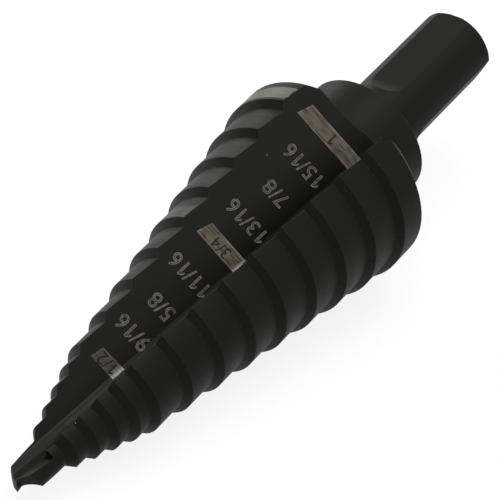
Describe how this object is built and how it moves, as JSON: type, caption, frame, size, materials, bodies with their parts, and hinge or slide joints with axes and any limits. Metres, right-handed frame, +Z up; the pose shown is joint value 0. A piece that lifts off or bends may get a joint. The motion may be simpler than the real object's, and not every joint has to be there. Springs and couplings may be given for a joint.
{
  "type": "step drill",
  "caption": "Stepped conical drill with straight flutes, a split point, a collar and a flatted shank.",
  "frame": {"origin": "middle of the bounding box's footprint, on the surface that the drill lies on", "axes": "+X along the drill towards the shank, raised 8 degrees; +Z up, with one flute facing upward; the drill lies on the edges of its lower flute"},
  "size_m": [0.0817, 0.0252, 0.0229],
  "materials": {
    "drill_steel": "black oxide over ground high-speed steel"
  },
  "bodies": {
    "root": {"step_drill": "drill_steel"}
  },
  "joints": []
}
